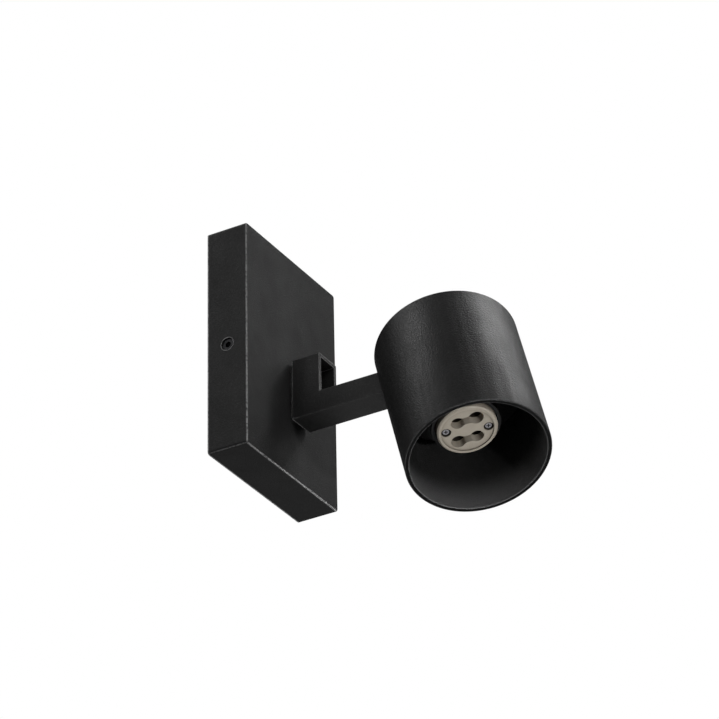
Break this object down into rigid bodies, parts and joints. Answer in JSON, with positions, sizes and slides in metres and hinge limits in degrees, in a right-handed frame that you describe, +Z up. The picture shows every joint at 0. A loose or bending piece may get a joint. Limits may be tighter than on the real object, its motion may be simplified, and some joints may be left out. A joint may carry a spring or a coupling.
{
  "type": "pivoting spotlight wall light",
  "caption": "Black wall light: a shallow rectangular canopy, an L-shaped bracket with a bar arm, and a round open-ended spotlight head that swivels and tilts, with a twist-lock lampholder inside.",
  "frame": {"origin": "middle of the canopy's face on the wall, which is also the wall bracket's back face", "axes": "+Y points into the wall and the lamp stands out towards -Y, +Z is up, +X is to the right of somebody facing the wall"},
  "size_m": [0.0727, 0.137, 0.1344],
  "materials": {
    "black_coat": "fine-textured matt black powder coat",
    "black_alloy": "fine-textured matt black powder coat on aluminium",
    "black_screw": "black oxide",
    "zinc_steel": "bright zinc plating",
    "brass_yellow": "bare brass",
    "black_rubber": "matt",
    "black_nylon": "matt",
    "white_nylon": "matt",
    "grey_ceramic": "unglazed, fine-grained"
  },
  "bodies": {
    "base": {"canopy_cover": "black_coat", "wall_bracket": "zinc_steel", "side_screws": "black_screw", "cable_grommet": "black_rubber", "terminal_block": "white_nylon", "terminal_screws": "zinc_steel", "terminal_fixing_screw": "zinc_steel", "earth_washer": "zinc_steel", "earth_screw": "brass_yellow", "spacer_washer": "black_coat", "arm_bracket": "black_coat", "threaded_nipple": "zinc_steel", "nipple_lock_washer": "zinc_steel", "nipple_nut": "zinc_steel", "swivel_lock_screw": "black_screw"},
    "knuckle": {"pivot_yoke": "black_coat", "swivel_washer": "black_nylon"},
    "head": {"head_tube": "black_alloy", "head_cap": "black_alloy", "hinge_screw": "black_screw", "hinge_nut": "zinc_steel", "hinge_washers": "black_nylon", "inner_baffle": "black_alloy", "baffle_screws": "black_screw", "holder_cup": "black_alloy", "lampholder_face": "grey_ceramic", "lampholder_body": "grey_ceramic", "contact_clips": "brass_yellow", "lampholder_screws": "zinc_steel"}
  },
  "joints": [
    {"name": "head_swivel", "type": "hinge", "parent": "base", "child": "knuckle", "pos_m": [0.0045, -0.0643, -0.0215], "axis": [0, 1, 0], "range_deg": [-162, 138]},
    {"name": "head_tilt", "type": "hinge", "parent": "knuckle", "child": "head", "pos_m": [0.0045, -0.0736, -0.0215], "axis": [-0.9781, 0, 0.2079], "range_deg": [-32.5, 72.5]}
  ]
}
